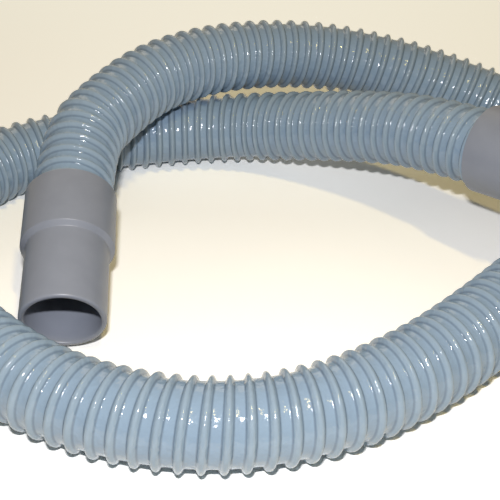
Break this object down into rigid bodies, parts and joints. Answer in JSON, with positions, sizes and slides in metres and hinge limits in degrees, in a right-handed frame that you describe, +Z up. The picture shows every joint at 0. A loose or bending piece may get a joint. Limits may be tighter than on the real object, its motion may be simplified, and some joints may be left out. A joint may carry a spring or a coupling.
{
  "type": "vacuum hose",
  "caption": "Ribbed flexible pool vacuum hose lying in a loose loop that crosses itself, with a stepped swivel cuff on each end.",
  "frame": {"origin": "middle of the box that the whole part fills, at the level of the surface it lies on", "axes": "+X along the longest side of the loop, from the cuff_a side to the cuff_b side; +Y from the front stretch to the back stretch; +Z up"},
  "size_m": [0.4557, 0.3564, 0.0936],
  "materials": {
    "hose_pvc": "semi-gloss soft PVC, pale blue-grey",
    "cuff_shell": "moulded polyethylene, mid grey, satin",
    "cuff_collar": "moulded polyethylene, dark grey",
    "seal_rubber": "black rubber"
  },
  "bodies": {
    "root": {"hose": "hose_pvc", "cuff_a_collar": "cuff_collar", "cuff_a_seal": "seal_rubber", "cuff_b_collar": "cuff_collar", "cuff_b_seal": "seal_rubber"},
    "cuff_a": {"cuff_a_shell": "cuff_shell"},
    "cuff_b": {"cuff_b_shell": "cuff_shell"}
  },
  "joints": [
    {"name": "cuff_a_swivel", "type": "hinge", "parent": "root", "child": "cuff_a", "pos_m": [-0.116, -0.035, 0.03852], "axis": [0.0602, -0.9628, -0.2633], "continuous": true},
    {"name": "cuff_b_swivel", "type": "hinge", "parent": "root", "child": "cuff_b", "pos_m": [0.139, 0.0015, 0.06601], "axis": [0.707, -0.6996, 0.1034], "continuous": true}
  ]
}
